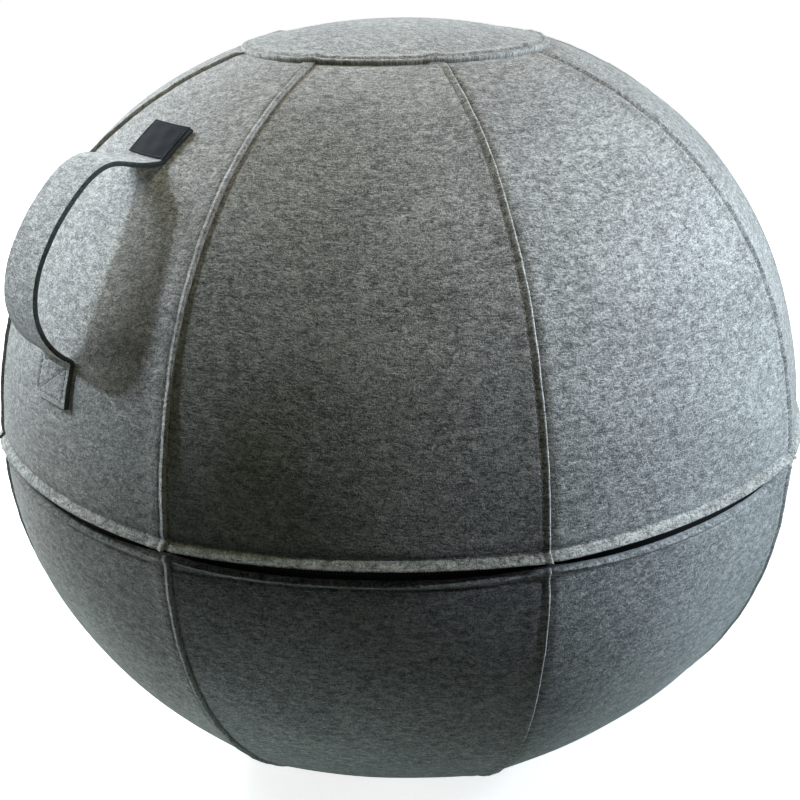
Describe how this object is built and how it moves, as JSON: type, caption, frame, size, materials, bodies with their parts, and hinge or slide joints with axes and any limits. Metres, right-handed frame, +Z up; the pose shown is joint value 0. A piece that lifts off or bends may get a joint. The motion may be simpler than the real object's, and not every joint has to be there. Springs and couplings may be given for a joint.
{
  "type": "sitting ball",
  "caption": "Inflatable sitting ball in a sewn grey felt cover with a round cap, a zip along its middle and a felt carrying strap.",
  "frame": {"origin": "middle of the flat round face that the ball stands on", "axes": "+Z up along the ball's axis through the middle of the cap; -Y is the front, towards the panel with the carrying strap"},
  "size_m": [0.6588, 0.6628, 0.608],
  "materials": {
    "felt": "melange wool-like felt, matt",
    "strap_felt": "melange wool-like felt, matt, dark cut edges",
    "tag_fabric": "black woven tape, bare",
    "zip_tape": "black woven tape",
    "zip_teeth": "black moulded coil",
    "zip_metal": "black lacquered metal",
    "thread": "grey sewing thread",
    "tag_thread": "black sewing thread",
    "ball_vinyl": "soft satin vinyl",
    "plug_plastic": "white moulded plastic"
  },
  "bodies": {
    "root": {"inner_ball": "ball_vinyl", "valve_plug": "plug_plastic", "top_cap": "felt", "base_disc": "felt", "upper_panel_1": "felt", "upper_panel_2": "felt", "upper_panel_3": "felt", "upper_panel_4": "felt", "upper_panel_5": "felt", "upper_panel_6": "felt", "upper_panel_7": "felt", "upper_panel_8": "felt", "lower_panel_1": "felt", "lower_panel_2": "felt", "lower_panel_3": "felt", "lower_panel_4": "felt", "lower_panel_5": "felt", "lower_panel_6": "felt", "lower_panel_7": "felt", "lower_panel_8": "felt", "zip_tape_upper": "zip_tape", "zip_tape_lower": "zip_tape", "zip_teeth_upper": "zip_teeth", "zip_teeth_lower": "zip_teeth", "zip_end_stops": "zip_metal", "zip_start_stop": "zip_metal", "strap_end_upper": "strap_felt", "strap_end_lower": "strap_felt", "blank_tag": "tag_fabric", "strap_stitching": "thread", "tag_stitching": "tag_thread", "cap_stitching": "thread", "base_stitching": "thread", "upper_seam_stitching": "thread", "lower_seam_stitching": "thread", "lip_stitching": "thread", "hem_stitching": "thread"},
    "strap": {"strap_loop": "strap_felt"},
    "slider": {"zip_slider": "zip_metal"},
    "pull": {"zip_pull": "zip_metal"}
  },
  "joints": [
    {"name": "strap_swing", "type": "hinge", "parent": "root", "child": "strap", "pos_m": [0, -0.22796, 0.53138], "axis": [0, -0.5436, -0.8393], "range_deg": [-15, 15], "stiffness_Nm_per_rad": 0.3},
    {"name": "zip_travel", "type": "hinge", "parent": "root", "child": "slider", "pos_m": [0, 0, 0.2975], "axis": [0, 0, -1], "range_deg": [0, 340]},
    {"name": "pull_swing", "type": "hinge", "parent": "slider", "child": "pull", "pos_m": [0.05625, 0.32089, 0.2975], "axis": [0, 0, 1], "range_deg": [0, 150]}
  ]
}
